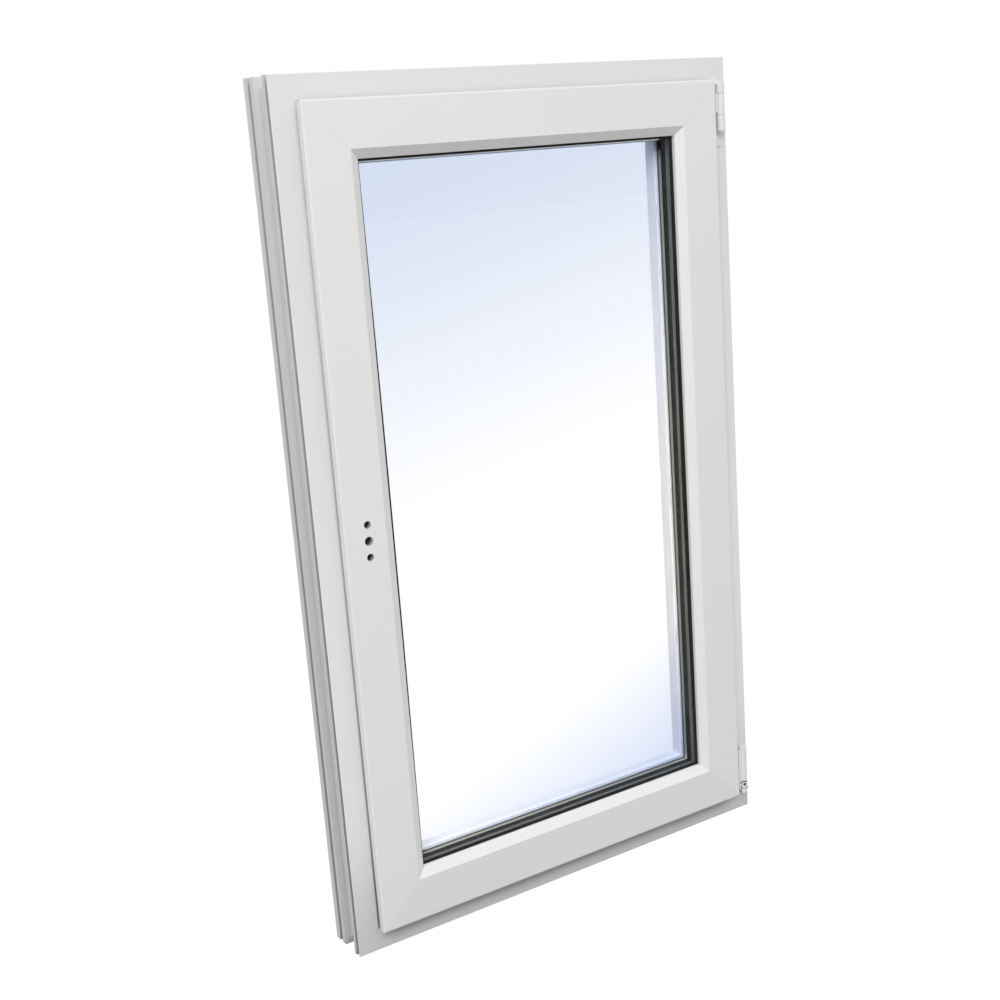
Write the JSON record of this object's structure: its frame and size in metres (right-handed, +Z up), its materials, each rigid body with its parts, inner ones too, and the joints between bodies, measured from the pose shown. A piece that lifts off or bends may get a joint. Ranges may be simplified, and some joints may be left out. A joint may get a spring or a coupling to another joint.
{
  "type": "tilt and turn window",
  "caption": "Single-sash tilt and turn window of white mitred plastic sections with double glass, edge hinges, a stay arm over the sash and a drilled handle place.",
  "frame": {"origin": "under the bottom rail, at the middle of its width and of its seat land", "axes": "+X to the right seen from the room, +Y to the outside, +Z up; the sash is closed at rest"},
  "size_m": [0.7, 0.0903, 1.15],
  "materials": {
    "frame_plastic": "satin white",
    "sash_plastic": "satin white",
    "bead_plastic": "satin white",
    "seal_rubber": "matt black",
    "window_glass": "clear",
    "spacer_metal": "matt grey",
    "block_plastic": "matt",
    "zinc_steel": "zinc plated",
    "hinge_metal": "bare die cast",
    "cover_plastic": "gloss white"
  },
  "bodies": {
    "frame": {"frame_left_jamb": "frame_plastic", "frame_right_jamb": "frame_plastic", "frame_top_rail": "frame_plastic", "frame_bottom_rail": "frame_plastic", "frame_stop_seal": "seal_rubber", "lower_hinge_bearing": "hinge_metal", "upper_hinge_bearing": "cover_plastic", "upper_hinge_pin": "zinc_steel", "lock_strikers": "zinc_steel"},
    "hinge_pivot": {"lower_hinge_pivot": "hinge_metal"},
    "sash": {"sash_left_stile": "sash_plastic", "sash_right_stile": "sash_plastic", "sash_top_rail": "sash_plastic", "sash_bottom_rail": "sash_plastic", "glazing_bead_left": "bead_plastic", "glazing_bead_right": "bead_plastic", "glazing_bead_top": "bead_plastic", "glazing_bead_bottom": "bead_plastic", "sash_overlap_seal": "seal_rubber", "inner_glass_seal": "seal_rubber", "outer_glass_seal": "seal_rubber", "inner_pane": "window_glass", "outer_pane": "window_glass", "glass_spacer": "spacer_metal", "glass_edge_seal": "seal_rubber", "glass_blocks": "block_plastic", "lock_strip_left": "zinc_steel", "lock_strip_right": "zinc_steel", "lock_strip_top": "zinc_steel", "lock_strip_bottom": "zinc_steel", "hinge_corner_strap": "zinc_steel", "hinge_sleeve": "cover_plastic", "hinge_sleeve_cap": "cover_plastic"},
    "stay": {"stay_arm": "zinc_steel"}
  },
  "joints": [
    {"name": "turn", "type": "hinge", "parent": "frame", "child": "hinge_pivot", "pos_m": [0.331, -0.059, 0.0455], "axis": [0, 0, 1], "range_deg": [0, 90]},
    {"name": "tilt", "type": "hinge", "parent": "hinge_pivot", "child": "sash", "pos_m": [0.331, -0.059, 0.0455], "axis": [1, 0, 0], "range_deg": [0, 7]},
    {"name": "stay_swing", "type": "hinge", "parent": "hinge_pivot", "child": "stay", "pos_m": [0.331, -0.059, 0.0455], "axis": [0, 0, 1], "range_deg": [0, 22.5]}
  ],
  "couplings": [
    {"joint": "stay_swing", "follows": "tilt", "ratio": 3.21}
  ]
}
